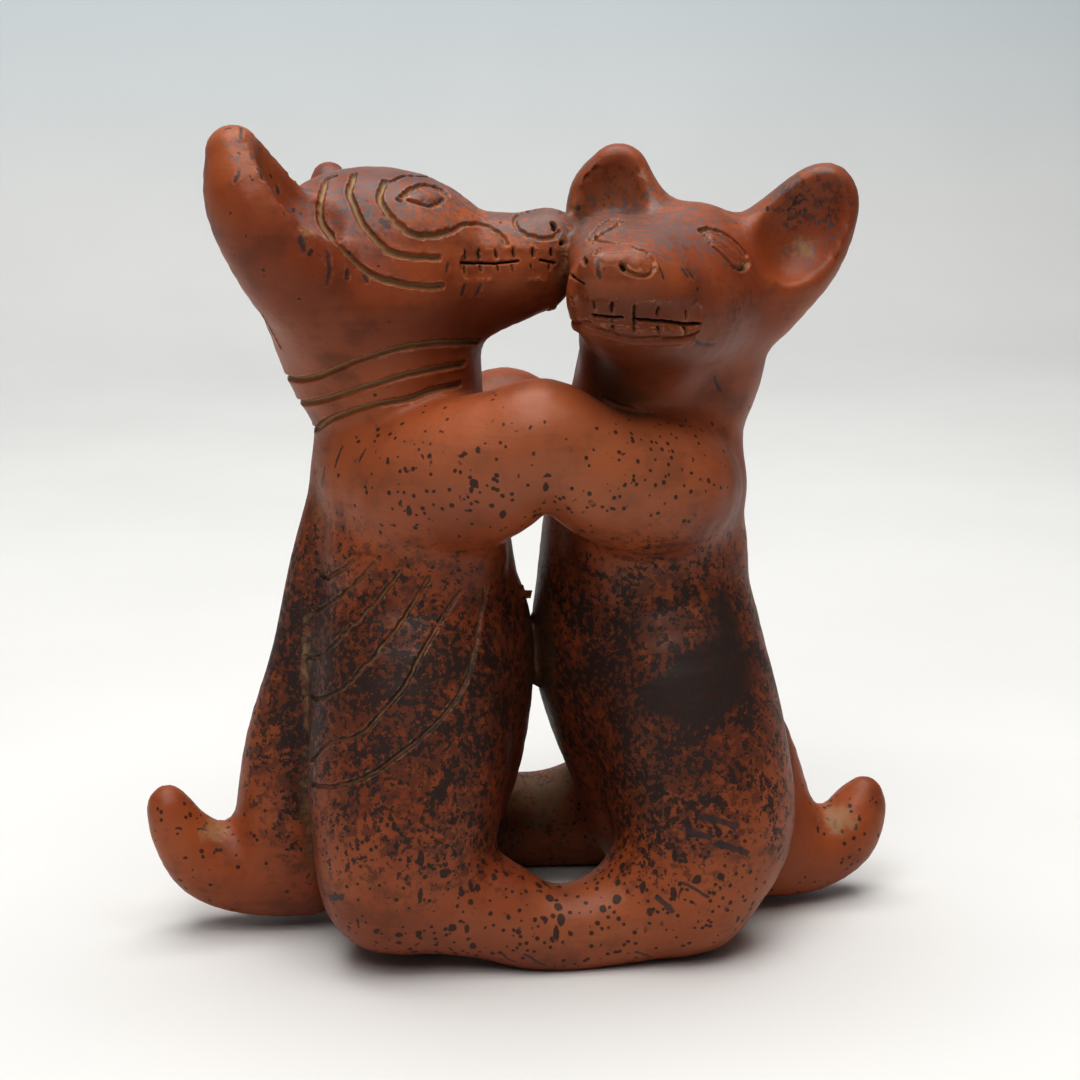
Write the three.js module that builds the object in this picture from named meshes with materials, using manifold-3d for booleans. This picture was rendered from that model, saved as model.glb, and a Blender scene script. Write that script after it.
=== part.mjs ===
// Pair of dogs standing on their hind legs and embracing, modelled by hand in red clay and fired as one.
// It is one closed solid: round masses melted into one another give its skin, the incised lines are pressed
// into the skin, and facets are merged where it is plain. +X runs from the left dog to the right one, -Y is
// the front, and the floor is at zero.
import * as THREE from 'three';
import { mergeVertices } from 'three/addons/utils/BufferGeometryUtils.js';
import Module from 'manifold-3d';

// Driving dimensions, in millimetres
const height = 210; // floor to the tip of the tallest ear
const earWall = 4.4; // clay left behind the hollow of an ear
const lineWidth = 2.4; // incised line, edge to edge
const lineDepth = 1.4; // incised line, below the skin
const footFlat = 1.6; // clay rubbed off the undersides of the legs to make them flat

// How finely the skin is drawn, in millimetres, and the number of facets kept
const latticeStep = 3; // cell of the lattice that the skin is first drawn through
const lineStep = 1.6; // facets beside an incised line are split down to this
const halvings = 3; // times that they can be split
const facets = 8200;

// The pose, the proportions and the carving are in hundredths of the height
const share = height / 100;
const beadsPerSpan = 4; // steps of a limb's curve between two of its balls

// Distance to a limb: balls given as [x, y, z, radius], joined by a smooth curve through their centres;
// deep is how much thicker the limb is from front to back than from side to side
function limb(balls, deep = 1) {
  const centre = new THREE.CatmullRomCurve3(balls.map(([x, y, z]) => new THREE.Vector3(x, y / deep, z)),
    false, 'catmullrom');
  const girth = new THREE.CatmullRomCurve3(balls.map((ball) => new THREE.Vector3(ball[3], 0, 0)),
    false, 'catmullrom');
  const steps = (balls.length - 1) * beadsPerSpan;
  const beads = new Float64Array(4 * (steps + 1));
  for (let i = 0; i <= steps; i += 1) {
    beads.set([...centre.getPoint(i / steps).toArray(), girth.getPoint(i / steps).x], 4 * i);
  }
  return (x, y, z) => {
    const v = y / deep;
    let nearest = Infinity;
    for (let i = 4; i < beads.length; i += 4) {
      const ux = beads[i] - beads[i - 4];
      const uy = beads[i + 1] - beads[i - 3];
      const uz = beads[i + 2] - beads[i - 2];
      const px = x - beads[i - 4];
      const py = v - beads[i - 3];
      const pz = z - beads[i - 2];
      const run = (px * ux + py * uy + pz * uz) / (ux * ux + uy * uy + uz * uz);
      const along = Math.min(1, Math.max(0, run));
      const gap = Math.sqrt((px - ux * along) ** 2 + (py - uy * along) ** 2 + (pz - uz * along) ** 2);
      nearest = Math.min(nearest, gap - beads[i - 1] - (beads[i + 3] - beads[i - 1]) * along);
    }
    return nearest;
  };
}

// Two distances melted into one over a width
function melted(a, b, width) {
  const near = Math.max(width - Math.abs(a - b), 0);
  return Math.min(a, b) - (near * near) / (4 * width);
}

// Forms added one after another, each as [form, width that it melts over]
function heap(parts) {
  return (x, y, z) => {
    let d = parts[0][0](x, y, z);
    for (let i = 1; i < parts.length; i += 1) d = melted(d, parts[i][0](x, y, z), parts[i][1]);
    return d;
  };
}

// The same balls on the far side of the body
const farSide = (balls) => balls.map(([x, y, z, r]) => [x, -y, z, r]);

// An ear: a leaf hollowed from the side that it faces, so that the wall is left behind the hollow
function ear(balls, scoop, facing, deep) {
  const wall = earWall / share;
  const tool = scoop.map(([x, y, z, r]) => [x, y, z, r].map((v, i) => (
    i < 3 ? v + facing[i] * wall : v)));
  const leaf = limb(balls, deep);
  const cut = limb(tool, deep);
  return (x, y, z) => -melted(-leaf(x, y, z), cut(x, y, z), 1.4);
}

// Left dog, seen from its side, with its muzzle held out level
const leftFlank = [[-13.2, -4.8, 45, 9.6], [-14, -8.6, 34, 11.6], [-15.1, -11.4, 23.5, 12],
  [-16, -14, 15.4, 10.8], [-17, -14.6, 10.6, 8.7]];
const leftDog = heap([
  [limb([[-14.2, 0, 59.5, 10.8], [-13.2, 0, 51.4, 11.6], [-12.9, 0, 42, 12.8], [-12.9, 0, 35, 14.6],
    [-13.3, 0, 24.4, 13.9], [-14.6, 0, 15, 12.2]], 1.1), 0],
  [limb(leftFlank), 2],
  [limb(farSide(leftFlank)), 2],
  [limb([[-21.8, 0, 57, 3.4], [-24.2, 0, 46, 4.1], [-26.7, 0, 34.8, 4.1], [-28.8, 0, 23.4, 5.5],
    [-29.6, 0, 12.7, 6.4]]), 1.6],
  [limb([[-27.9, 0, 7.6, 6.7], [-34.2, -0.5, 7.1, 5.4], [-39.1, -1, 8.9, 4.9], [-42.2, -1.5, 12.5, 3.8],
    [-43.8, -2, 16.1, 2.8], [-44, -2, 17.4, 1.9]]), 3],
  [limb([[-14.2, 0, 58, 10.2], [-14.3, 0, 65, 9.9], [-16.5, 0, 72.4, 11.8], [-17.6, 0, 78, 12.9]]), 2],
  [limb([[-24.4, 0, 86.2, 5.6], [-20.6, 0, 85.6, 8.4], [-15, 0, 83.5, 10.5], [-7.4, -1, 82.5, 7.3],
    [-0.8, -1.9, 83.3, 5.6], [3, -2.4, 84.7, 4.8]], 1.05), 2],
  [limb([[-10.7, 0, 78.3, 6.6], [-3.2, -1.4, 79, 4.2], [2.6, -2.4, 80.6, 3.2]], 1.1), 2],
  [ear([[-22.4, -4.8, 79.2, 7.8], [-27.5, -7.2, 84.6, 6.8], [-31.7, -8, 91, 5.6], [-33.9, -7.6, 96.7, 3.2]],
    [[-27, -7, 89.6, 3.6], [-29.8, -7.6, 93, 3.4], [-31.6, -7.2, 96.4, 1.9]], [1, -0.1, 0.5], 1.25), 2.5],
  [ear([[-18.5, 6, 82, 6], [-20.8, 9, 87.6, 4.6], [-22, 11, 92, 2.2]],
    [[-19.6, 8, 87.6, 3], [-20.6, 10, 91.4, 2]], [1, 0.2, 0.4], 1.2), 2.5],
]);

// Right dog, its head turned to the front
const rightFlank = [[17, -4.8, 42, 10.4], [18.4, -8.6, 31.5, 11.8], [20.3, -11.4, 22, 11.6],
  [20.8, -13.8, 15, 10.9], [18, -15.8, 8.7, 8.6]];
const rightDog = heap([
  [limb([[15.7, 0, 58.7, 11.3], [15.6, 0, 50.5, 12.4], [15.5, 0, 41, 13.3], [16, 0, 35, 14.3],
    [17.2, 0, 28.5, 13.9], [19.2, 0, 19.8, 12.6], [20, 0, 14.6, 11.8]], 1.1), 0],
  [limb(rightFlank), 2],
  [limb(farSide(rightFlank)), 2],
  [limb([[24.6, 0, 38, 1.8], [26.7, 0, 31, 3.2], [30.1, 0, 20.8, 4.9], [31.9, 0, 11.7, 6.1]]), 1.6],
  [limb([[31.8, -0.5, 6.9, 6.5], [37.4, -0.4, 6.1, 5.3], [42, 0, 7.8, 4.6], [44.3, 0.5, 11, 3.6],
    [45, 0.5, 12.9, 2.5]]), 3],
  [limb([[16.6, 0, 58.3, 10.9], [17.2, 0, 64.5, 10.7], [18.9, 0, 70.7, 11.3], [19.9, -1.9, 77.1, 10.8]]), 2],
  [limb([[20.3, -3.5, 80.8, 9.3], [14, -12.6, 79.9, 8.4], [9.9, -18.4, 80.9, 6.8]], 1.05), 2],
  [limb([[19.8, -6, 78.6, 8.6], [16.8, -12.4, 78.6, 7.6], [13, -17.2, 79.6, 6.4]]), 2.5],
  [limb([[10.2, -7, 84, 5.2], [9.2, -13, 83.7, 4.8]]), 2],
  [limb([[6.4, -23, 84.2, 2.6], [9.8, -23.2, 84, 2.8]]), 2.2],
  [limb([[14.4, -10.4, 75.6, 6.6], [11, -16.4, 78, 5.2]]), 2],
  [limb([[12.9, -9.4, 74, 6.8], [14.6, -6.2, 69.6, 8], [16.6, -2.8, 65, 9.4]]), 2.5],
  [ear([[14.8, -1.4, 84, 6.6], [11.6, -1.6, 89.1, 6], [11.8, -2, 93.2, 3.8]],
    [[9.2, -5, 88.4, 4.8], [10.2, -4.8, 91, 4.9], [11.5, -4.6, 94, 3.2]], [0, -1, 0.1], 0.9), 2],
  [ear([[27.5, -2.9, 79.8, 7.6], [32.4, -4.4, 84.7, 6.6], [35.6, -5, 89.4, 4.9], [36.6, -5.2, 91.6, 3.1]],
    [[30.2, -8.6, 84.8, 4.3], [32.4, -8.4, 86.2, 5.6], [34.6, -8.2, 89, 5], [36.2, -7.9, 91.7, 3]],
    [-0.2, -1, 0.1], 0.9), 2],
]);

// Arms that run from shoulder to shoulder, the far one lower and thinner
const nearArm = [[-15.4, -4.8, 57.6, 8.6], [-11.6, -9, 57.8, 9.6], [-6.3, -13.3, 60.2, 8.8],
  [-2.9, -15.7, 62.4, 7.7], [0.4, -17.1, 64.4, 6.9], [4, -17.1, 62.6, 6.8], [8, -16.2, 59.6, 7.6],
  [15.1, -11.4, 57.2, 8.9], [18.8, -5.7, 56, 8.2]];
const farArm = farSide(nearArm).map(([x, y, z, r]) => [x, y, z - 3, r * 0.85]);

// Legs that meet in a bar on each side; the balls that rest on the floor reach below it by the clay rubbed off
const resting = (x, y, r) => [x, y, r - footFlat / share, r];
const nearBar = [leftFlank.at(-1), [-7.1, -16.6, 7.5, 6.5], resting(0.7, -17.8, 5.3), resting(8.7, -17.4, 5.9),
  rightFlank.at(-1)];
const farBar = [farSide(leftFlank).at(-1), [-5.5, 16.8, 6.8, 7.2], resting(2.4, 17.8, 6.4),
  resting(9.4, 17.4, 6.9), farSide(rightFlank).at(-1)];

// The chest of each dog rises into the arm above it
const leftRise = limb([[-17.5, -6, 48.6, 6.3], [-13.5, -8, 48.2, 7.6], [-9, -9, 49.4, 6.2]]);
const rightRise = limb([[11.5, -8.6, 50, 6.2], [16.5, -7.4, 48.2, 7.4], [20.5, -5, 48, 6.2]]);

const figure = heap([[leftDog, 0], [rightDog, 0.4], [leftRise, 2.5], [rightRise, 2.5], [limb(nearArm), 2],
  [limb(farArm), 1.6], [limb(nearBar), 2], [limb(farBar), 2]]);

// Signed distance to the skin from a point in millimetres, negative in the clay
const skin = (x, y, z) => figure(x / share, y / share, z / share) * share;

// Slope of that distance, by differences over a tenth of a millimetre each way
function slope(x, y, z) {
  const h = 0.1;
  return new THREE.Vector3(skin(x + h, y, z) - skin(x - h, y, z), skin(x, y + h, z) - skin(x, y - h, z),
    skin(x, y, z + h) - skin(x, y, z - h)).divideScalar(2 * h);
}

// The skin drawn through a cubic lattice, each cell of it as six tetrahedra that share a diagonal
function drawSkin(low, high, step) {
  const n = low.map((v, axis) => Math.ceil((high[axis] - v) / step) + 1);
  const field = new Float64Array(n[0] * n[1] * n[2]);
  const at = (i, j, k) => (k * n[1] + j) * n[0] + i;
  const spot = (c) => new THREE.Vector3(low[0] + (c % n[0]) * step,
    low[1] + (Math.floor(c / n[0]) % n[1]) * step, low[2] + Math.floor(c / (n[0] * n[1])) * step);
  for (let c = 0; c < field.length; c += 1) field[c] = skin(...spot(c).toArray());

  const points = [];
  const triangles = [];
  const known = new Map();
  const crossing = (a, b) => {
    const key = Math.min(a, b) * field.length + Math.max(a, b);
    if (!known.has(key)) {
      known.set(key, points.length);
      points.push(spot(a).lerp(spot(b), field[a] / (field[a] - field[b])));
    }
    return known.get(key);
  };
  // A triangle turned so that it looks away from a lattice point in the clay
  const addFacet = (a, b, c, inner) => {
    const normal = points[b].clone().sub(points[a]).cross(points[c].clone().sub(points[a]));
    const outward = normal.dot(points[a].clone().add(points[b]).add(points[c]).divideScalar(3).sub(spot(inner)));
    triangles.push(outward >= 0 ? [a, b, c] : [a, c, b]);
  };
  const addTetrahedron = (four) => {
    const inner = four.filter((c) => field[c] < 0);
    const outer = four.filter((c) => field[c] >= 0);
    if (inner.length === 1) addFacet(...outer.map((o) => crossing(inner[0], o)), inner[0]);
    if (inner.length === 3) addFacet(...inner.map((c) => crossing(c, outer[0])), inner[0]);
    if (inner.length === 2) {
      const [a, b, c, d] = [[0, 0], [0, 1], [1, 1], [1, 0]].map(([i, o]) => crossing(inner[i], outer[o]));
      addFacet(a, b, c, inner[0]);
      addFacet(a, c, d, inner[1]);
    }
  };
  const corners = [[0, 0, 0], [1, 0, 0], [1, 1, 0], [0, 1, 0], [0, 0, 1], [1, 0, 1], [1, 1, 1], [0, 1, 1]];
  const rings = [[1, 2], [2, 3], [3, 7], [7, 4], [4, 5], [5, 1]];
  for (let k = 0; k < n[2] - 1; k += 1) {
    for (let j = 0; j < n[1] - 1; j += 1) {
      for (let i = 0; i < n[0] - 1; i += 1) {
        const cell = corners.map(([a, b, c]) => at(i + a, j + b, k + c));
        const inner = cell.filter((c) => field[c] < 0).length;
        if (inner > 0 && inner < 8) rings.forEach(([a, b]) => addTetrahedron([cell[0], cell[a], cell[b], cell[6]]));
      }
    }
  }
  return { points, triangles };
}

// Points brought onto the skin along its slope
function settle(points) {
  points.forEach((p) => {
    for (let turn = 0; turn < 2; turn += 1) {
      const g = slope(p.x, p.y, p.z);
      const off = THREE.MathUtils.clamp(skin(p.x, p.y, p.z), -latticeStep / 2, latticeStep / 2);
      p.addScaledVector(g, -off / Math.max(g.lengthSq(), 0.25));
    }
  });
}

// Facets merged, cheapest first, until the count is met; each point carries the planes that it stands for,
// as the ten numbers of a symmetric 4 by 4 matrix
function thin(points, triangles, count) {
  const planes = points.map(() => new Float64Array(10));
  const around = points.map(() => new Set());
  const alive = triangles.map(() => true);
  const version = new Int32Array(points.length);
  const normalOf = ([a, b, c], moved, to) => {
    const [p, q, r] = [a, b, c].map((v) => (v === moved[0] || v === moved[1] ? to : points[v]));
    return q.clone().sub(p).cross(r.clone().sub(p));
  };
  triangles.forEach((t, f) => {
    const normal = normalOf(t, [], null);
    const area = normal.length() / 2;
    normal.normalize();
    const { x, y, z } = normal;
    const w = -normal.dot(points[t[0]]);
    const terms = [x * x, x * y, x * z, x * w, y * y, y * z, y * w, z * z, z * w, w * w];
    t.forEach((v) => {
      around[v].add(f);
      terms.forEach((term, i) => { planes[v][i] += term * area; });
    });
  });
  const costAt = (q, { x, y, z }) => q[0] * x * x + q[4] * y * y + q[7] * z * z + q[9]
    + 2 * (q[1] * x * y + q[2] * x * z + q[3] * x + q[5] * y * z + q[6] * y + q[8] * z);
  const bestPlace = (q, a, b) => {
    const choices = [a, b, a.clone().lerp(b, 0.5)];
    const det = q[0] * (q[4] * q[7] - q[5] * q[5]) - q[1] * (q[1] * q[7] - q[5] * q[2])
      + q[2] * (q[1] * q[5] - q[4] * q[2]);
    if (Math.abs(det) > 1e-3) {
      const solved = new THREE.Vector3(-q[3], -q[6], -q[8]).applyMatrix3(
        new THREE.Matrix3(q[0], q[1], q[2], q[1], q[4], q[5], q[2], q[5], q[7]).invert());
      if (solved.distanceTo(choices[2]) < 2 * a.distanceTo(b)) choices.push(solved);
    }
    return choices.reduce((best, p) => (costAt(q, p) < costAt(q, best) ? p : best));
  };

  const heapOfEdges = [];
  const swap = (i, j) => { [heapOfEdges[i], heapOfEdges[j]] = [heapOfEdges[j], heapOfEdges[i]]; };
  const push = (edge) => {
    heapOfEdges.push(edge);
    for (let i = heapOfEdges.length - 1; i > 0 && heapOfEdges[(i - 1) >> 1].cost > heapOfEdges[i].cost;) {
      swap(i, (i - 1) >> 1);
      i = (i - 1) >> 1;
    }
  };
  const pop = () => {
    swap(0, heapOfEdges.length - 1);
    const top = heapOfEdges.pop();
    for (let i = 0; ;) {
      let least = i;
      [2 * i + 1, 2 * i + 2].forEach((j) => {
        if (j < heapOfEdges.length && heapOfEdges[j].cost < heapOfEdges[least].cost) least = j;
      });
      if (least === i) break;
      swap(i, least);
      i = least;
    }
    return top;
  };
  const neighbours = (v) => {
    const found = new Set();
    around[v].forEach((f) => triangles[f].forEach((u) => { if (u !== v) found.add(u); }));
    return found;
  };
  const addEdge = (a, b) => {
    const q = planes[a].map((v, i) => v + planes[b][i]);
    const place = bestPlace(q, points[a], points[b]);
    const cost = costAt(q, place) + 1e-5 * points[a].distanceToSquared(points[b]);
    push({ a, b, q, place, cost, stamp: version[a] + version[b] });
  };
  points.forEach((p, v) => neighbours(v).forEach((u) => { if (u > v) addEdge(v, u); }));

  let left = triangles.length;
  while (left > count && heapOfEdges.length > 0) {
    const { a, b, q, place, stamp } = pop();
    if (around[a].size === 0 || around[b].size === 0 || stamp !== version[a] + version[b]) continue;
    const shared = [...around[a]].filter((f) => around[b].has(f));
    const ringB = neighbours(b);
    const common = [...neighbours(a)].filter((v) => ringB.has(v));
    if (shared.length !== 2 || common.length !== 2) continue;
    const kept = [...around[a], ...around[b]].filter((f) => !shared.includes(f));
    const folds = kept.some((f) => {
      const before = normalOf(triangles[f], [], null);
      const after = normalOf(triangles[f], [a, b], place);
      return after.dot(before) < 0.3 * after.length() * before.length() || after.lengthSq() < 1e-8;
    });
    if (folds) continue;
    shared.forEach((f) => {
      alive[f] = false;
      triangles[f].forEach((v) => around[v].delete(f));
    });
    around[b].forEach((f) => {
      triangles[f] = triangles[f].map((v) => (v === b ? a : v));
      around[a].add(f);
    });
    around[b].clear();
    points[a] = place;
    planes[a] = q;
    version[a] += version[b] + 1;
    left -= 2;
    neighbours(a).forEach((u) => addEdge(a, u));
  }
  return triangles.filter((t, f) => alive[f]);
}

// Incised lines of the left dog, as [x, z] points seen from its side: eye, rings round the eye, mouth and lip,
// nose, collars and ribs
const leftLines = [
  [[-14.3, 91.2], [-12.9, 92.5], [-11.4, 92.7], [-10, 92.2], [-9, 91.3], [-10.4, 90.6], [-12, 90.2], [-14.3, 91.2]],
  [[-6.9, 90.8], [-8.8, 92.2], [-12.7, 93.6], [-16.4, 93.2], [-17.4, 91.6], [-16.2, 89.4], [-13.6, 87.4],
    [-10.8, 87.2], [-8.6, 88.1], [-5, 87.9], [-2.4, 86]],
  [[-18, 94], [-20.5, 93], [-20.2, 90.6], [-18, 86.6], [-14.6, 85], [-10.8, 84.6]],
  [[-23.4, 93], [-24, 90.6], [-22.4, 86.4], [-18, 83], [-14, 81.7], [-10.5, 81.4]],
  [[-8.2, 83.8], [-4, 83.8], [0, 83.8], [3.8, 83.4]],
  [[-8.2, 83], [-7, 81.8], [-3, 81.5], [3, 81.9]],
  [[-1.4, 88.6], [-0.6, 87], [1.6, 86.4], [3.6, 86.6]],
  [[-27.6, 70], [-25.4, 70.7], [-21, 72.9], [-16.4, 74.4], [-11, 74.9], [-5.4, 74.2]],
  [[-26.2, 67.1], [-23, 68.6], [-18, 70.6], [-12, 71.7], [-7, 71.9]],
  [[-25, 63.9], [-22, 66.3], [-17, 68.1], [-11, 69.3], [-5.8, 68.6]],
  [[-25.2, 46.2], [-23.2, 47.2]],
  [[-25.8, 41.9], [-23.4, 43.9], [-21, 46.8]],
  [[-26.8, 35.8], [-23.4, 39.4], [-20, 43.6], [-17.6, 47]],
  [[-27.1, 30.6], [-23.2, 34.8], [-18.6, 39.8], [-14, 46.6]],
  [[-26.8, 25.4], [-23, 29.2], [-18.4, 33.3], [-13.8, 39.8], [-9.6, 46]],
  [[-26.6, 22.6], [-21.5, 25.3], [-15.9, 29.5], [-10, 34.4], [-7.2, 40], [-5.8, 46]],
];

// Incised lines of the right dog's face, seen from the front: its eyes, the rim of the nose, mouth and lip
const rightLines = [
  [[19.5, 87.6], [22, 87.5], [24.2, 86], [25.3, 83.6], [24, 83.1], [21.6, 84.5], [19.5, 87.6]],
  [[6.2, 87], [8, 88.3], [10.4, 89], [9, 87.8], [6.2, 87]],
  [[4.3, 85.2], [6, 86.9], [9.6, 87.1], [11.8, 85.8], [11, 84.4], [8.2, 84.5]],
  [[3.6, 78.9], [6, 79.3], [8.4, 79.2]],
  [[9.8, 79.1], [14, 78.6], [18.2, 77.8]],
  [[3.4, 77.6], [8.8, 77.4], [14, 76.8], [18.8, 77]],
];

// Each line as short straight steps in millimetres, with the sides of the figure that carry it
const incised = [...leftLines.map((line) => [line, [-1, 1]]), ...rightLines.map((line) => [line, [-1]])]
  .map(([line, sides]) => ({
    sides,
    steps: new THREE.SplineCurve(line.map(([x, z]) => new THREE.Vector2(x * share, z * share)))
      .getPoints(line.length * 6),
  }));
incised.forEach((line) => { line.bounds = new THREE.Box2().setFromPoints(line.steps).expandByScalar(lineWidth); });

// How far a place is from the nearest incised line on its own side, looking along the depth
function fromLines(x, y, z) {
  const spot = new THREE.Vector2(x, z);
  let nearest = Infinity;
  incised.forEach(({ sides, steps, bounds }) => {
    if (!sides.includes(Math.sign(y)) || !bounds.containsPoint(spot)) return;
    for (let i = 1; i < steps.length; i += 1) {
      const span = steps[i].clone().sub(steps[i - 1]);
      const along = THREE.MathUtils.clamp(spot.clone().sub(steps[i - 1]).dot(span) / span.lengthSq(), 0, 1);
      nearest = Math.min(nearest, spot.distanceTo(steps[i - 1].clone().addScaledVector(span, along)));
    }
  });
  return nearest;
}

// Facets beside the incised lines split until their edges are short; a split edge is split for both facets
function refine(points, triangles) {
  for (let turn = 0; turn < halvings; turn += 1) {
    const halves = new Map();
    const near = points.map((p) => fromLines(p.x, p.y, p.z) < lineWidth);
    const half = (a, b) => {
      if (!(near[a] || near[b]) || points[a].distanceTo(points[b]) < lineStep) return -1;
      const key = Math.min(a, b) * 1e6 + Math.max(a, b);
      if (!halves.has(key)) {
        halves.set(key, points.length);
        points.push(points[a].clone().lerp(points[b], 0.5));
      }
      return halves.get(key);
    };
    triangles = triangles.flatMap(([a, b, c]) => {
      const [ab, bc, ca] = [half(a, b), half(b, c), half(c, a)];
      const cuts = [ab, bc, ca].filter((v) => v >= 0).length;
      if (cuts === 0) return [[a, b, c]];
      if (cuts === 3) return [[a, ab, ca], [b, bc, ab], [c, ca, bc], [ab, bc, ca]];
      // turned so that the edge from the first corner to the second is cut and the last edge is whole
      const turns = [[a, b, c, ab, bc, ca], [b, c, a, bc, ca, ab], [c, a, b, ca, ab, bc]];
      const [p, q, r, pq, qr] = turns.find((t) => t[3] >= 0 && t[5] < 0);
      if (cuts === 1) return [[p, pq, r], [pq, q, r]];
      return [[pq, q, qr], [p, pq, qr], [p, qr, r]];
    });
  }
  return triangles;
}

// Lines pressed in square to the skin, with a rounded bottom, fading where the skin turns away from its side
function incise(points) {
  points.forEach((p) => {
    const off = fromLines(p.x, p.y, p.z) / (lineWidth / 2);
    if (off >= 1) return;
    const normal = slope(p.x, p.y, p.z).normalize();
    const facing = THREE.MathUtils.smoothstep(normal.y * Math.sign(p.y), 0.1, 0.35);
    p.addScaledVector(normal, -lineDepth * facing * Math.cos((off * Math.PI) / 2) ** 1.5);
  });
}

const box = { low: [-47, -30, -3].map((v) => v * share), high: [50, 30, 103].map((v) => v * share) };
const drawn = drawSkin(box.low, box.high, latticeStep);
const { points } = drawn;
const fine = refine(points, drawn.triangles);
settle(points);
incise(points);
const kept = thin(points, fine, facets);

// The undersides of the legs cut flat on the floor, which stands for all that is below it
const wasm = await Module();
wasm.setup();
const toSolid = (places, corners) => new wasm.Manifold(new wasm.Mesh({
  numProp: 3,
  vertProperties: new Float32Array(places.flatMap((p) => p.toArray())),
  triVerts: new Uint32Array(corners.flat()),
}));
const used = [...new Set(kept.flat())];
const renumbered = new Map(used.map((v, i) => [v, i]));
const clay = toSolid(used.map((v) => points[v]), kept.map((t) => t.map((v) => renumbered.get(v))));
const slab = new THREE.BoxGeometry(2 * height, 2 * height, height).translate(0, 0, -height / 2);
slab.deleteAttribute('normal');
slab.deleteAttribute('uv');
const floor = mergeVertices(slab);
const slabSpots = [];
for (let i = 0; i < floor.attributes.position.count; i += 1) {
  slabSpots.push(new THREE.Vector3().fromBufferAttribute(floor.attributes.position, i));
}
const floorFacets = Array.from({ length: floor.index.count / 3 }, (_, f) => (
  [0, 1, 2].map((c) => floor.index.getX(3 * f + c))));
const shaped = clay.subtract(toSolid(slabSpots, floorFacets)).getMesh();

const geometry = new THREE.BufferGeometry();
geometry.setAttribute('position', new THREE.BufferAttribute(shaped.vertProperties, 3));
geometry.setIndex(new THREE.BufferAttribute(shaped.triVerts, 1));
geometry.computeBoundingBox();
const centre = geometry.boundingBox.getCenter(new THREE.Vector3());
geometry.translate(-centre.x, -centre.y, 0);
geometry.computeVertexNormals();

const redClay = new THREE.MeshStandardMaterial({ color: 0x9c5238, roughness: 0.48, metalness: 0 });
const pair = new THREE.Group();
const dogs = new THREE.Mesh(geometry, redClay);
dogs.name = 'embracing_dogs';
pair.add(dogs);
export default pair;
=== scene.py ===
# %% [markdown]
# # A pair of pottery dogs, standing and embracing
# The pair is one piece of burnished red clay: two plump dogs on their hind legs, made and fired as one,
# with lines cut into the skin. It could be sculpted by hand in Blender. Here its skin is worked out from a
# field instead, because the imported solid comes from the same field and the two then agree. A field is a
# number for every place in space: negative in the clay, zero on its skin and positive outside. Lengths of
# the figure are shares, hundredths of its height, until the last step turns them into metres.

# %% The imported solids, and the box that they fill
import math

import bpy
import numpy as np
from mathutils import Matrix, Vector


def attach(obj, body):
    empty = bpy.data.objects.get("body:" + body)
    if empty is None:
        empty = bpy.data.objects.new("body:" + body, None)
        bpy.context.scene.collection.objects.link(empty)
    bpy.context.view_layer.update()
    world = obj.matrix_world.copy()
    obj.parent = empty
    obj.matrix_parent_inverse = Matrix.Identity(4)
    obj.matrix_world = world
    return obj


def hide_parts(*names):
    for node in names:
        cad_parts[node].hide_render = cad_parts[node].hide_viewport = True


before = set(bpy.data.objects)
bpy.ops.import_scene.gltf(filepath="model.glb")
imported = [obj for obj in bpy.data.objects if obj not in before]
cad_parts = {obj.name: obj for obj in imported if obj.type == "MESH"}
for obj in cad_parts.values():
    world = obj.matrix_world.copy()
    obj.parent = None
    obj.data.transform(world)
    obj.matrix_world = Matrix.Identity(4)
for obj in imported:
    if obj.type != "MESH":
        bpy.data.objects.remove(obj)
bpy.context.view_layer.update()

HEIGHT = 0.210                     # metres, floor to the tip of the tallest ear
SHARE = HEIGHT / 100               # metres in one share
MM = 0.001 / SHARE                 # shares in one millimetre

# %% [markdown]
# ## Round masses
# The potter built the bodies up from swelling, rounded forms and smoothed every join with a wet hand.
# Metaballs or a sculpting brush could do this, but they are hard to hold to a size, and formulas are exact.
# A limb is a chain of balls, each [x, y, z, radius]. A smooth curve runs through the centres and is cut
# into beads, four from each ball to the next, and the distance to the limb is the least distance to a
# cone between two beads. Two forms melt into each other over a width w, by the formula
# min(a, b) - max(w - |a - b|, 0)^2 / 4w.


# %% Curve, limb, melting and ear
BEADS = 4                          # beads from one ball to the next
ROUGH = 6                          # shares past which a rough distance will do
EAR_WALL = 4.4                     # millimetres
EAR_LIP = 0.8                      # how softly the scoop meets the leaf


def smooth_curve(points, steps):
    """Catmull-Rom: between b and c the curve is b + t*m + t^2*(3(c-b) - 2m - n) + t^3*(2(b-c) + m + n),
    with m = (c-a)/2 and n = (d-b)/2; the row goes on straight past its two ends."""
    p = np.asarray(points, float)
    p = np.vstack([2 * p[0] - p[1], p, 2 * p[-1] - p[-2]])
    spans = len(p) - 3
    place = np.linspace(0, spans, spans * steps + 1)
    i = np.minimum(place.astype(int), spans - 1)
    t = (place - i)[:, None]
    a, b, c, d = p[i], p[i + 1], p[i + 2], p[i + 3]
    m, n = (c - a) / 2, (d - b) / 2
    return b + t * m + t**2 * (3 * (c - b) - 2 * m - n) + t**3 * (2 * (b - c) + m + n)


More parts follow.
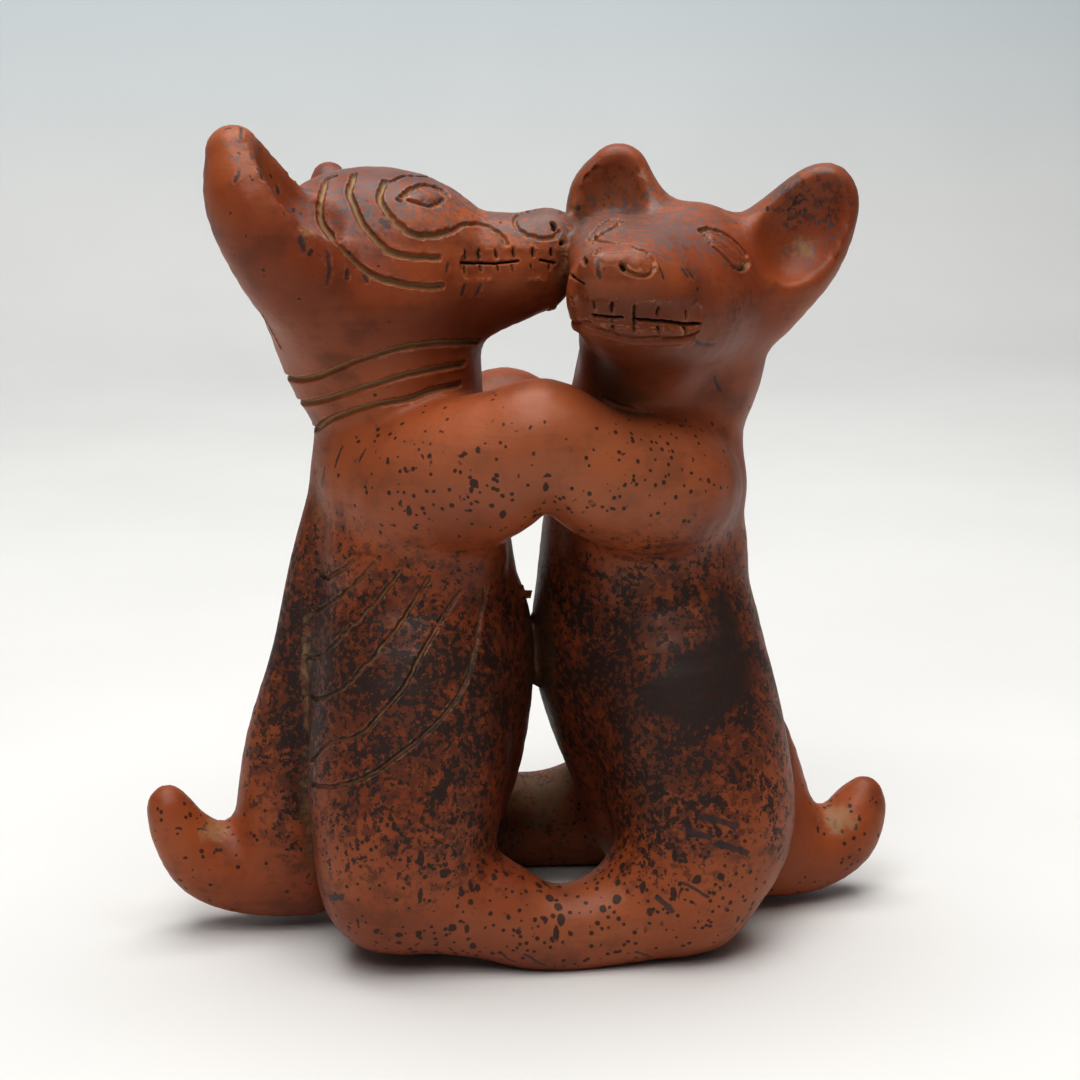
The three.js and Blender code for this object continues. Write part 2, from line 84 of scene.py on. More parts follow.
def limb(balls, deep=1.0):
    """Distance to the chain: min over spans of |p - u*k| - (r0 + (r1 - r0)*k), with k = p.u / u.u held in
    0..1; y is divided by deep. Further off than ROUGH, the distance to a ball round the whole chain is
    enough."""
    balls = np.array(balls, float)
    balls[:, 1] /= deep
    beads = smooth_curve(balls, BEADS)
    middle = beads[len(beads) // 2, :3]
    reach = (np.linalg.norm(beads[:, :3] - middle, axis=1) + beads[:, 3]).max()

    def distance(points):
        p = points / [1, deep, 1]
        d = np.linalg.norm(p - middle, axis=1) - reach
        near = d <= ROUGH
        q = p[near]
        best = np.full(len(q), np.inf)
        for a, b in zip(beads[:-1], beads[1:]):
            u, v = b[:3] - a[:3], q - a[:3]
            k = np.clip(v @ u / (u @ u), 0, 1)
            gap = np.sqrt(((v - k[:, None] * u) ** 2).sum(1))
            best = np.minimum(best, gap - a[3] - (b[3] - a[3]) * k)
        d[near] = best
        return d
    return distance


def melted(a, b, width):
    """min(a, b) - max(width - |a - b|, 0)^2 / (4*width)"""
    return np.minimum(a, b) - np.maximum(width - abs(a - b), 0) ** 2 / (4 * width)


def heap(parts):
    """Forms melted in one after another, each as (form, width)."""
    def distance(points):
        d = parts[0][0](points)
        for form, width in parts[1:]:
            d = melted(d, form(points), width)
        return d
    return distance


def ear(balls, scoop, facing, deep):
    """A leaf less a scoop that is moved out by the thickness of the wall: -melted(-leaf, scoop)."""
    leaf = limb(balls, deep)
    tool = np.array(scoop, float)
    tool[:, :3] += np.array(facing) * EAR_WALL * MM
    cut = limb(tool, deep)
    return lambda points: -melted(-leaf(points), cut(points), EAR_LIP)


def far_side(balls):
    """The same balls with y turned to -y."""
    return [[x, -y, z, r] for x, y, z, r in balls]


print("one millimetre is", round(MM, 4), "of a share")

# %% [markdown]
# ## The two dogs
# The left dog is seen from its side. The right one turns its head to the front. Each has a torso, a flank
# on each side, a ridge down its back to its tail, a neck, a head, a jaw and two ears, which are leaves with
# a scoop taken out. Separate meshes joined by a Boolean would leave sharp seams, so every form is melted
# into the ones before it, as (form, width of the melt).

# %% Left dog
left_flank = [[-13.2, -4.8, 45, 9.6], [-14, -8.6, 34, 11.6], [-15.1, -11.4, 23.5, 12],
              [-16, -14, 15.4, 10.8], [-17, -14.6, 10.6, 8.7]]
left_dog = heap([
    (limb([[-14.2, 0, 59.5, 10.8], [-13.2, 0, 51.4, 11.6], [-12.9, 0, 42, 12.8], [-12.9, 0, 35, 14.6],
           [-13.3, 0, 24.4, 13.9], [-14.6, 0, 15, 12.2]], 1.1), 0),
    (limb(left_flank), 2),
    (limb(far_side(left_flank)), 2),
    (limb([[-21.8, 0, 57, 3.4], [-24.2, 0, 46, 4.1], [-26.7, 0, 34.8, 4.1], [-28.8, 0, 23.4, 5.5],
           [-29.6, 0, 12.7, 6.4]]), 1.6),
    (limb([[-27.9, 0, 7.6, 6.7], [-34.2, -0.5, 7.1, 5.4], [-39.1, -1, 8.9, 4.9], [-42.2, -1.5, 12.5, 3.8],
           [-43.8, -2, 16.1, 2.8], [-44, -2, 17.4, 1.9]]), 3),
    (limb([[-14.2, 0, 58, 10.2], [-14.3, 0, 65, 9.9], [-16.5, 0, 72.4, 11.8], [-17.6, 0, 78, 12.9]]), 2),
    (limb([[-24.4, 0, 86.2, 5.6], [-20.6, 0, 85.6, 8.4], [-15, 0, 83.5, 10.5], [-7.4, -1, 82.5, 7.3],
           [-0.8, -1.9, 83.3, 5.6], [3, -2.4, 84.7, 4.8]], 1.05), 2),
    (limb([[-10.7, 0, 78.3, 6.6], [-3.2, -1.4, 79, 4.2], [2.6, -2.4, 80.6, 3.2]], 1.1), 2),
    (ear([[-22.4, -4.8, 79.2, 7.8], [-27.5, -7.2, 84.6, 6.8], [-31.7, -8, 91, 5.6],
          [-33.9, -7.6, 96.7, 3.2]],
         [[-25.6, -9.2, 88.6, 3.4], [-28.2, -10, 91.4, 3.8], [-30.4, -9.8, 94.4, 3.2],
          [-31.8, -9, 97, 1.9]],
         [1, -0.3, 0.5], 1.25), 2.5),
    (ear([[-18.5, 6, 82, 6], [-20.8, 9, 87.6, 4.6], [-22, 11, 92, 2.2]],
         [[-19.6, 8, 87.6, 3], [-20.6, 10, 91.4, 2]], [1, 0.2, 0.4], 1.2), 2.5),
])
print("the left dog's flank stands out", round(left_flank[3][3] - left_flank[3][1], 1), "shares")

# %% Right dog
right_flank = [[17, -4.8, 42, 10.4], [18.4, -8.6, 31.5, 11.8], [20.3, -11.4, 22, 11.6],
               [20.8, -13.8, 15, 10.9], [18, -15.8, 8.7, 8.6]]
right_dog = heap([
    (limb([[15.7, 0, 58.7, 11.3], [15.6, 0, 50.5, 12.4], [15.5, 0, 41, 13.3], [16, 0, 35, 14.3],
           [17.2, 0, 28.5, 13.9], [19.2, 0, 19.8, 12.6], [20, 0, 14.6, 11.8]], 1.1), 0),
    (limb(right_flank), 2),
    (limb(far_side(right_flank)), 2),
    (limb([[24.6, 0, 38, 1.8], [26.7, 0, 31, 3.2], [30.1, 0, 20.8, 4.9], [31.9, 0, 11.7, 6.1]]), 1.6),
    (limb([[31.8, -0.5, 6.9, 6.5], [37.4, -0.4, 6.1, 5.3], [42, 0, 7.8, 4.6], [44.3, 0.5, 11, 3.6],
           [45, 0.5, 12.9, 2.5]]), 3),
    (limb([[16.6, 0, 58.3, 10.9], [17.2, 0, 64.5, 10.7], [18.9, 0, 70.7, 11.3],
           [19.9, -1.9, 77.1, 10.8]]), 2),
    (limb([[20.3, -3.5, 80.8, 9.3], [14, -12.6, 79.9, 8.4], [9.9, -18.4, 80.9, 6.8]], 1.05), 2),
    (limb([[19.8, -6, 78.6, 8.6], [16.8, -12.4, 78.6, 7.6], [13, -17.2, 79.6, 6.4]]), 2.5),
    (limb([[10.2, -7, 84, 5.2], [9.2, -13, 83.7, 4.8]]), 2),
    (limb([[6.4, -23, 84.2, 2.6], [9.8, -23.2, 84, 2.8]]), 2.2),
    (limb([[14.4, -10.4, 75.6, 6.6], [11, -16.4, 78, 5.2]]), 2),
    (limb([[12.9, -9.4, 74, 6.8], [14.6, -6.2, 69.6, 8], [16.6, -2.8, 65, 9.4]]), 2.5),
    (ear([[14.8, -1.4, 84, 6.6], [11.6, -1.6, 89.1, 6], [11.8, -2, 93.2, 3.8]],
         [[9.2, -5, 88.4, 4.8], [10.2, -4.8, 91, 4.9], [11.5, -4.6, 94, 3.2]], [0, -1, 0.1], 0.9), 2),
    (ear([[27.5, -2.9, 79.8, 7.6], [32.4, -4.4, 84.7, 6.6], [35.6, -5, 89.4, 4.9], [36.6, -5.2, 91.6, 3.1]],
         [[30.2, -8.6, 84.8, 4.3], [32.4, -8.4, 86.2, 5.6], [34.6, -8.2, 89, 5], [36.2, -7.9, 91.7, 3]],
         [-0.2, -1, 0.1], 0.9), 2),
])
print("the right dog's flank stands out", round(right_flank[3][3] - right_flank[3][1], 1), "shares")

# %% Arms, leg bars and the whole pair
FAR_ARM_DROP, FAR_ARM_SLIM = 3, 0.85
FLAT = 1.6                         # millimetres rubbed off the clay that rests on the floor
near_arm = [[-15.4, -4.8, 57.6, 8.6], [-11.6, -9, 57.8, 9.6], [-6.3, -13.3, 60.2, 8.8],
            [-2.9, -15.7, 62.4, 7.7], [0.4, -17.1, 64.4, 6.9], [4, -17.1, 62.6, 6.8], [8, -16.2, 59.6, 7.6],
            [15.1, -11.4, 57.2, 8.9], [18.8, -5.7, 56, 8.2]]
far_arm = [[x, y, z - FAR_ARM_DROP, r * FAR_ARM_SLIM] for x, y, z, r in far_side(near_arm)]


def resting(x, y, r):
    """A ball that reaches a little below the floor, where it is rubbed off flat."""
    return [x, y, r - FLAT * MM, r]


near_bar = [left_flank[-1], [-7.1, -16.6, 7.5, 6.5], resting(0.7, -17.8, 5.3), resting(8.7, -17.4, 5.9),
            right_flank[-1]]
far_bar = [far_side(left_flank)[-1], [-5.5, 16.8, 6.8, 7.2], resting(2.4, 17.8, 6.4),
           resting(9.4, 17.4, 6.9), far_side(right_flank)[-1]]
rise_left = limb([[-17.5, -6, 48.6, 6.3], [-13.5, -8, 48.2, 7.6], [-9, -9, 49.4, 6.2]])
rise_right = limb([[11.5, -8.6, 50, 6.2], [16.5, -7.4, 48.2, 7.4], [20.5, -5, 48, 6.2]])
crumb = limb([[-0.5, -4.6, 43.3, 0.7], [0.5, -4.9, 42.7, 0.7], [1.1, -5, 41.9, 0.4]])
figure = heap([(left_dog, 0), (right_dog, 0.4), (rise_left, 2.5), (rise_right, 2.5), (limb(near_arm), 2),
               (limb(far_arm), 1.6), (limb(near_bar), 2), (limb(far_bar), 2), (crumb, 0.3)])
print("field at the left dog's heart:", figure(np.array([[-13.0, 0, 45]])).round(2))

# %% [markdown]
# ## From field to skin
# A field shows nothing until it has facets. A volume object with the Volume to Mesh modifier could make
# them, but surface nets take a few steps on whole arrays and spread their points evenly. The field is
# worked out on a cubic lattice. Each cell that the skin passes through gets one point, the mean of the
# places where the skin crosses its edges, and each crossed edge gets a square between its four cells. The
# points are then moved along the field's slope until they lie on the skin.


# %% Slope, drawing and settling
def slope(form, points, h=0.05):
    """Gradient from four places h*s away, with s the corners of a tetrahedron: the sum of
    s * f(p + h*s), over 4h."""
    corners = np.array([[1, -1, -1], [-1, -1, 1], [-1, 1, -1], [1, 1, 1]], float)
    return sum(s * form(points + h * s)[:, None] for s in corners) / (4 * h)


def settled(form, points, turns=3):
    """p - f(p) * g / g.g, a few times over, with f held to half a share and g.g to a quarter or more, so
    that no point is thrown far."""
    for _ in range(turns):
        g = slope(form, points)
        off = np.clip(form(points), -0.5, 0.5)
        points = points - off[:, None] * g / np.maximum((g**2).sum(1), 0.25)[:, None]
    return points


def draw_skin(form, low, high, step):
    """Surface nets: a point for each cell whose corners differ in sign, at the mean of the crossings
    a / (a - b) along its edges, and a square across each crossed edge."""
    axes = [np.arange(a, b, step) for a, b in zip(low, high)]
    n = np.array([len(a) for a in axes])
    lattice = np.stack(np.meshgrid(*axes, indexing="ij"), -1).reshape(-1, 3)
    f = form(lattice).reshape(n)
    inside = f < 0
    total, count = np.zeros((*(n - 1), 3)), np.zeros(n - 1)
    edges = []
    for axis in range(3):
        a, b = f.take(range(n[axis] - 1), axis), f.take(range(1, n[axis]), axis)
        cut = (a < 0) != (b < 0)
        at = np.argwhere(cut)
        along = (a[cut] / (a[cut] - b[cut]))[:, None] * np.eye(3)[axis]
        edges.append((axis, at, a[cut] < 0))
        u, v = np.eye(3, dtype=int)[[i for i in range(3) if i != axis]]
        for shift in (0 * u, u, v, u + v):
            cell = at - shift
            ok = ((cell >= 0) & (cell < n - 1)).all(1)
            np.add.at(total, tuple(cell[ok].T), (at + along)[ok])
            np.add.at(count, tuple(cell[ok].T), 1)
    used = count > 0
    number = np.full(n - 1, -1)
    number[used] = np.arange(used.sum())
    points = np.array(low) + step * total[used] / count[used][:, None]
    squares = []
    for axis, at, outward in edges:
        u, v = np.eye(3, dtype=int)[[(axis + 1) % 3, (axis + 2) % 3]]
        four = np.stack([number[tuple((at - s).T)] for s in (u + v, v, 0 * u, u)], 1)
        squares.append(np.where(outward[:, None], four, four[:, ::-1]))
    q = np.vstack(squares)
    print("squares", len(q), "points", len(points), "inside", int(inside.sum()))
    return points, np.vstack([q[:, [0, 1, 2]], q[:, [0, 2, 3]]])


LATTICE_LOW, LATTICE_HIGH = (-47, -30, -3), (50, 30, 103)
step = 0.95      # shares
skin_points, facets = draw_skin(figure, LATTICE_LOW, LATTICE_HIGH, step)
skin_points = settled(figure, skin_points)

# %% [markdown]
# ## Incised lines
# The eyes, mouths, collars and ribs were drawn with a pointed tool in leather-hard clay. A bump texture
# could show them, but their edges catch the light and their ends break the outline, so they are real dents
# in the mesh. Each is a row of [x, z] places seen square to the pair, laid on the skin by going in along y
# from the front or the back. It has a width and a depth in millimetres. A groove has a rounded bottom; a
# band has a flat one; a negative depth raises the clay; and a depth of nought is a streak of colour alone.


# %% A row on the skin, and the list of lines
STEPS = 6                          # steps from one place of a row to the next
INWARDS = np.linspace(32, 0, 65)   # how far from the middle plane a place is looked for


def on_skin(row, side):
    """The first place in the clay along y, from the front (side -1) or the back (1), for each step of a
    smooth curve through the row, or the place nearest to the clay where y misses it; then settled on the
    skin."""
    row, y = smooth_curve(row, STEPS), side * INWARDS
    x, z = (np.repeat(row[:, i], len(y)) for i in (0, 1))
    f = figure(np.stack([x, np.tile(y, len(row)), z], 1)).reshape(len(row), -1)
    first = np.where((f < 0).any(1), (f < 0).argmax(1), f.argmin(1))
    return settled(figure, np.stack([row[:, 0], y[first], row[:, 1]], 1), 4)


lines = []


def add(width, depth, sides, *rows, shape=2, slit_shade=0.0, paint=0.0):
    """Keeps each row once for each side of the figure that carries it: its places on the skin, half the
    width, the depth, the power that shapes the groove, how black its inside is painted as painted shade,
    and how black it stains the skin. Width and depth come in millimetres and are kept in shares."""
    for row in rows:
        for side in sides:
            lines.append((on_skin(row, side), width * MM / 2, depth * MM, shape, slit_shade, paint))


both, front = (-1, 1), (-1,)

# %% Eye and rings of the left dog
add(1.5, 1.2, both,
    [[-14.6, 91.3], [-13.7, 92], [-12.4, 92.4], [-11.2, 92.4], [-10.1, 92], [-9.3, 91.6], [-9, 91.1]])
add(1.1, 0.9, both, [[-13.8, 91], [-12.9, 90.5], [-11.9, 90.3], [-10.8, 90.3], [-9.6, 90.8]])
add(3.4, -0.6, both, [[-12.8, 91.2], [-10.6, 91.3]])
add(1.2, 0.9, both, [[-15.1, 91.1], [-14.9, 90.8]], slit_shade=0.6)
add(1.8, 1.4, both,
    [[-16.4, 93.1], [-17.2, 91.4], [-16.9, 90.4], [-16.3, 89.5], [-15.4, 88.5], [-14.4, 87.7],
     [-13.1, 87.2], [-11.8, 87.1], [-10.4, 87.2], [-9.3, 87.4]],
    [[-19.8, 93.7], [-20.6, 92], [-20.3, 90.8], [-19.3, 88.4], [-17.2, 86], [-15.6, 85.2], [-13.9, 84.9],
     [-10.8, 84.6]],
    [[-22.1, 93.5], [-23.2, 92.9], [-24, 90.6], [-23.9, 88.4], [-21.9, 86], [-19.5, 83.6], [-16.4, 82.2],
     [-12.3, 81.4], [-10.4, 81.4]])
add(1.0, 0.8, both,
    [[-16.2, 92.8], [-13.8, 93.4], [-10.9, 93.1], [-9.1, 92.3], [-7.5, 91.3], [-6.2, 90.3]])
add(1.3, 0.9, both, [[-9.3, 87.3], [-7.3, 88], [-4.8, 87.8], [-3, 86.7], [-2.3, 85.7]])
print(len(lines), "lines on the left dog's cheeks")

# %% Mouth and nose of the left dog
add(7.4, 0.6, both, [[-6.6, 83.5], [-2, 83.4], [3.2, 83.3]], shape=8)
add(0.8, 1.3, both,
    [[-8, 83.9], [-5.8, 83.7], [-3.2, 83.6], [-1, 83.8]], [[1.7, 83.8], [3, 83.5], [4.3, 83.1]], slit_shade=1.0)
add(0.9, 0.7, both, *[[[x, 85.1], [x + 0.1, 84.3]] for x in (-7.5, -5.7, -3.7, -1.6, 0.7, 2.9)], slit_shade=0.8)
add(0.7, 0.5, both, *[[[x, 83.3], [x + 0.1, 82.7]] for x in (-7.5, -5.6, -3.5, -1.8, 0.5, 2.7)], slit_shade=0.7)
add(1.2, 0.8, both,
    [[1.5, 89.2], [0.1, 88.9], [-0.9, 88.4], [-1, 87.6], [0, 86.7], [1.6, 86.3], [3.2, 86.4], [3.9, 87]])
add(1.7, 1.4, both, [[3.3, 87.8], [3.4, 87.4]], slit_shade=1.0)
print(len(lines), "lines with its muzzle")

# %% Collars, ribs and a stroke behind the left dog's jaw
add(1.8, 1.3, both,
    [[-28.2, 69.6], [-25.5, 70.5], [-21.5, 72.7], [-16.6, 74.3], [-11.5, 74.8], [-5.7, 74.1]],
    [[-26.8, 66.6], [-23, 68.4], [-19.8, 69.7], [-15, 71.2], [-11.5, 71.7], [-7.7, 71.8]],
    [[-25.4, 62.4], [-23, 65.6], [-18.2, 67.7], [-15, 68.2], [-11.5, 69.2], [-8.2, 69.4]])
add(1.3, 0.8, both, [[-31, 78.2], [-30, 76.1], [-28.9, 74]])
add(1.2, 0.85, both,
    [[-25.2, 46.4], [-24.3, 46], [-23.2, 47.1], [-21.1, 49.2]],
    [[-25.8, 42.1], [-25, 42.1], [-23.1, 44.1], [-21.2, 46.3], [-18.9, 49.4]],
    [[-26.8, 35.9], [-25.9, 36.5], [-23.4, 39.6], [-21.2, 42.3], [-18.7, 44.9], [-15.9, 48.6]],
    [[-27.1, 30.7], [-25.7, 32.6], [-23.2, 34.7], [-20.8, 37.4], [-18.1, 40.5], [-15.2, 44], [-12.7, 48]],
    [[-26.8, 25.3], [-24.6, 28.6], [-21.3, 30.3], [-18.4, 33.3], [-15.6, 36.7], [-13.8, 39.8], [-9, 46.1]],
    [[-26.6, 22.9], [-24.1, 24.1], [-21.5, 25.3], [-18.6, 27.3], [-13, 31.5], [-10, 34.4], [-8.1, 37.7],
     [-6.2, 43.9], [-5.8, 46.1]])
print(len(lines), "lines with its neck and ribs")

# %% Face of the right dog
add(1.5, 1.4, front,
    [[19.5, 87.5], [21, 87.6], [22.5, 87], [24.1, 85.9], [25.2, 84.7], [25.5, 83.5], [24.3, 83.1],
     [22.8, 83.7], [21.6, 85], [20.4, 86.1], [19.5, 87.5]],
    [[6.2, 87], [7.1, 87.9], [8.3, 88.5], [9.7, 88.8], [10.4, 88.7], [9.4, 88.4], [7.9, 87.8], [6.4, 87]])
add(3.4, -0.7, front, [[21, 86.6], [23.9, 84.3]])
add(1.0, 0.6, front, [[5.6, 86.2], [6.2, 86.9], [7.4, 87.1], [8.7, 87.2], [9.5, 87.1]])
add(1.2, 0.9, front,
    [[9.5, 87.1], [10.9, 86.5], [11.7, 85.7], [11.7, 84.6], [11.1, 84.1], [10, 84.1], [8.4, 84.6]])
add(3.2, -0.5, front, [[6.6, 85.9], [8.8, 85.9], [10, 85.4]])
add(1.6, 1.5, front, [[8.2, 85.1], [8.4, 84.7]], [[4.2, 85.7], [4.4, 85.3]], slit_shade=1.0)
add(7.0, 0.9, front, [[4.4, 79.9], [9, 79.8], [13.6, 79.3], [17, 78.9]], shape=8)
add(2.4, -0.7, front, [[3.4, 77.5], [6, 77.2], [9.2, 76.6], [13, 76.3], [17, 76.2]])
add(0.9, 1.3, front,
    [[5.1, 79.3], [6.3, 79.2], [8.3, 79.2]],
    [[9.7, 79], [11.9, 78.8], [14, 78.5], [15.9, 78.1], [18, 77.9]], slit_shade=1.0)
add(0.9, 0.9, front,
    [[9.7, 80.5], [9.8, 77.9]], [[7.1, 80.8], [7.2, 79.9]], [[12.7, 80.3], [12.5, 79.5]],
    [[16.1, 79.6], [16.2, 78.8]], [[5.2, 81], [5.2, 80.3]], [[7.5, 78.3], [7.5, 78.1]],
    [[12.6, 77.9], [12.6, 77.7]], [[16, 77.7], [16, 76.8]], [[3.4, 81], [3.5, 80.3]], slit_shade=0.8)
add(0.8, 0.5, front,
    [[3.4, 78], [4.7, 78.4], [5.7, 78.1], [6.9, 77.8], [9.1, 77.3], [12.1, 77.1], [15.6, 76.7],
     [17.8, 77.2]])
add(1.6, 0.5, front, [[8.6, 68], [10.7, 67], [13.6, 66.4]])
print(len(lines), "lines with the right dog's face and throat")

# %% Streaks of black slip that ran
add(1.3, 0, front,
    [[-23.8, 85.8], [-23.7, 84.6], [-23.9, 82.4]], [[-21.6, 83.7], [-21.6, 82.9]],
    [[-19.6, 83.1], [-19.3, 82.3]], [[-9.6, 83.9], [-10, 82.9]], [[-7.7, 81.3], [-8.1, 80.2]],
    [[-5.7, 81.2], [-6.1, 80.1]], [[-33, 99.4], [-33.1, 98.4]], [[-33.4, 94.8], [-33.8, 93.9]],
    [[-31.3, 95.3], [-30.8, 93.9]], [[-29.1, 92.8], [-29, 92]], [[5.6, 85.6], [5.7, 83.9]],
    [[12.6, 84.6], [12.9, 83.6]], [[15.7, 84.1], [16.2, 83.3]], [[16.3, 84], [16.8, 83.1]],
    [[17, 76.2], [18.6, 75.4], [20.2, 75.2]], [[21.6, 70.4], [22, 69.4], [22.6, 68.4]], paint=1.0)
add(2.4, 0, front,
    [[18.6, 19.6], [20.4, 19.3], [22.6, 18.5]], [[20.2, 16.5], [22, 16], [24, 15.1]],
    [[16.9, 18], [19.4, 17.3]], [[13.5, 9.8], [15, 8.5]], [[-25.1, 10.1], [-23.7, 11.2]],
    [[-26.8, 87.4], [-26.5, 86.3]], [[-17.2, 88.9], [-16.4, 88.1]], paint=1.0)
add(1.1, 0, front,
    [[16, 11.9], [17.6, 11.2], [19.2, 10.1]], [[10.9, 2.9], [13.2, 1.6]], [[-5.4, 3.5], [-3.4, 1.9]],
    [[-2.4, 3.2], [0.2, 1.4]], [[-22, 62.3], [-22.8, 60]], [[-19.6, 62.6], [-20.2, 61.2]],
    [[-24, 59.4], [-24.4, 57]], paint=1.0)
print(len(lines), "lines with the streaks")

# %% [markdown]
# ## Finer facets beside the lines
# A groove one millimetre wide needs facets far smaller than that, and a plump flank doesn't. A Subdivision
# Surface modifier would split the whole skin into millions of facets, so only the edges near a line are
# halved, in three rounds. The last round is kept for the carved lines that face the front.


# %% Distance to the lines, and splitting
WIDE = 0.6                         # half width past which only a line's two edges get finer facets
WAVER, WAVES = 0.05, [5.1, 3.3, 4.3]


def from_row(points, row):
    """Least distance to the row's straight pieces: |p - a - k*u|, with k = (p - a).u / u.u in 0..1."""
    u, v = row[1:] - row[:-1], points[:, None] - row[:-1]
    k = np.clip((v * u).sum(-1) / np.maximum((u * u).sum(-1), 1e-9), 0, 1)
    return np.linalg.norm(v - k[..., None] * u, axis=-1).min(1)


def from_lines(points, rows):
    """For each point: how far it is from a wide line's edge or outside a narrow one's; the depth that the
    lines give it, which is depth * (1 - (distance / half width)^shape), the deepest groove and the sum of
    bands and ridges; how deep a groove alone goes; the painted shade that blackens the inside of slits; and
    paint. The distance wavers along the line by a sine, as a hand does."""
    off = np.full(len(points), 9.0)
    groove, band, slit_shade, paint = np.zeros((4, len(points)))
    for row, half, depth, shape, black, colour in rows:
        near = np.flatnonzero(((points > row.min(0) - half - 1) & (points < row.max(0) + half + 1)).all(1))
        p = points[near]
        away = from_row(p, row) + WAVER * np.sin(p @ WAVES) * min(half, 1)
        part = 1 - np.clip(away / half, 0, 1) ** shape
        off[near] = np.minimum(off[near], abs(away - half) if half > WIDE else away - half)
        if depth > 0 and shape == 2:
            groove[near] = np.maximum(groove[near], depth * part)
        else:
            band[near] += depth * part
        slit_shade[near] = np.maximum(slit_shade[near], black * part)
        paint[near] = np.maximum(paint[near], colour * (1 - np.clip(away / half - 0.3, 0, 1)))
    return off, groove + band, groove, slit_shade, paint


def split_near(points, facets, close, shortest):
    """Each edge with a marked end and longer than the shortest is halved, in both facets that share it; a
    facet with one, two or three halved edges becomes two, three or four."""
    rows = np.sort(facets[:, [0, 1, 1, 2, 2, 0]].reshape(-1, 2), axis=1)
    edge, where = np.unique(rows, axis=0, return_inverse=True)
    where = where.reshape(-1, 3)
    length = np.linalg.norm(points[edge[:, 0]] - points[edge[:, 1]], axis=1)
    cut = close[edge].any(1) & (length > shortest)
    number = np.where(cut, len(points) + np.cumsum(cut) - 1, -1)
    points = np.vstack([points, points[edge[cut]].mean(1)])
    half = number[where]
    made = [facets[(half < 0).all(1)]]
    for turn in range(3):
        a, b, c = np.roll(facets, -turn, 1).T
        ab, bc, ca = np.roll(half, -turn, 1).T
        one = (ab >= 0) & (bc < 0) & (ca < 0)
        two = (ab >= 0) & (bc >= 0) & (ca < 0)
        made += [np.stack(t, 1)[one] for t in ((a, ab, c), (ab, b, c))]
        made += [np.stack(t, 1)[two] for t in ((ab, b, bc), (a, ab, bc), (a, bc, c))]
    (a, b, c), (ab, bc, ca) = facets.T, half.T
    three = (half >= 0).all(1)
    made += [np.stack(t, 1)[three] for t in ((a, ab, ca), (b, bc, ab), (c, ca, bc), (ab, bc, ca))]
    return points, np.vstack(made)


# Each plan: which lines, how near a facet has to be, and the shortest edge that is still halved.
front_lines = [line for line in lines if line[2] != 0 and line[0][:, 1].mean() < 2]
plans = ((lines, 0.3, 0.5), (lines, 0.1, 0.3), (front_lines, 0.05, 0.24))
for rows, reach, shortest in plans[:3]:
    off = from_lines(skin_points, rows)[0]
    skin_points, facets = split_near(skin_points, facets, off < reach, shortest)
    skin_points = settled(figure, skin_points, 1)
print("facets after splitting", len(facets))

# %% [markdown]
# ## Pressing the lines in
# A tool drawn through clay pushes up a low burr on both sides of its groove. A Displace modifier could
# press the lines in from a texture, but here the distances are known at every point, so the points are
# moved themselves: in along the skin's normal by the depth that the lines give, and out a little beside a
# groove. The underside is rubbed flat at the floor. How enclosed each point is gets measured as well: the
# field is read a little way out along the normal, and in a corner it grows more slowly than the way does.

# %% Grooves, burrs and the flat underside
BURR, RIM = 0.12 * MM, 0.3 * MM    # height of a burr, and how far its crest is from the groove
off, dent, groove, slit_shade, paint = from_lines(skin_points, lines)
normal = slope(figure, skin_points)
normal /= np.linalg.norm(normal, axis=1)[:, None]
burr = np.exp(-((off - RIM) / RIM) ** 2) * (paint == 0)
carved = skin_points + normal * (BURR * burr - dent)[:, None]
carved[:, 2] = np.maximum(carved[:, 2], 0)
middle = (carved.min(0) + carved.max(0)) / 2 * [1, 1, 0]
print("groove up to", groove.max().round(2), "shares, burr up to", round(BURR, 3))

# %% How enclosed each place is
WAYS_OUT = (1.5, 4.0)              # shares
room = [np.clip(figure(skin_points + normal * d) / d, 0, 1) for d in WAYS_OUT]
# The material darkens the enclosed places by this value, as painted shade.
hollow = 1 - np.minimum(room[0], room[1])
print("hollow from", hollow.min().round(2), "to", hollow.max().round(2))


# %% From arrays to a mesh
def make_mesh(name, points, facets, values):
    """A mesh object from whole arrays, shaded smooth, with one number per point for each named value."""
    mesh = bpy.data.meshes.new(name)
    mesh.vertices.add(len(points))
    mesh.vertices.foreach_set("co", points.astype(np.float32).ravel())
    mesh.loops.add(facets.size)
    mesh.loops.foreach_set("vertex_index", facets.astype(np.int32).ravel())
    mesh.polygons.add(len(facets))
    mesh.polygons.foreach_set("loop_start", np.arange(0, facets.size, 3, dtype=np.int32))
    mesh.polygons.foreach_set("use_smooth", np.ones(len(facets), bool))
    mesh.update(calc_edges=True)
    mesh.validate()
    for key, value in values.items():
        mesh.attributes.new(key, "FLOAT", "POINT").data.foreach_set("value", value.astype(np.float32))
    made = bpy.data.objects.new(name, mesh)
    bpy.context.scene.collection.objects.link(made)
    return made


# %% [markdown]
# ## Stains, painted light and painted shade
# Fire, smoke and the ground have stained the clay in soft patches: black mottling on the flanks, a smoke
# stain on the right dog's side, a grey bloom on the heads and earth in the corners. The bloom is kept to
# faces that look up, so it also paints in the sheen of the top lamp. Painted shade darkens the jaws, chins
# and throats from below, and painted light makes the tops of the arms, a head and the near leg bar paler.
# They could be painted on the mesh with a brush. Here each is a sum of soft round spots, worked out for
# every point and kept on the mesh as an attribute, which the material reads.


# %% Where the fire and the ground have stained the clay, and where light and shade are painted
def stains(*spots):
    """The sum of weight * exp(-|(p - centre) / size|^2) over the spots, held in 0..1. Each spot is
    (weight, centre, size)."""
    return np.clip(sum(weight * np.exp(-(((skin_points - centre) / size) ** 2).sum(1))
                       for weight, centre, size in spots), 0, 1)


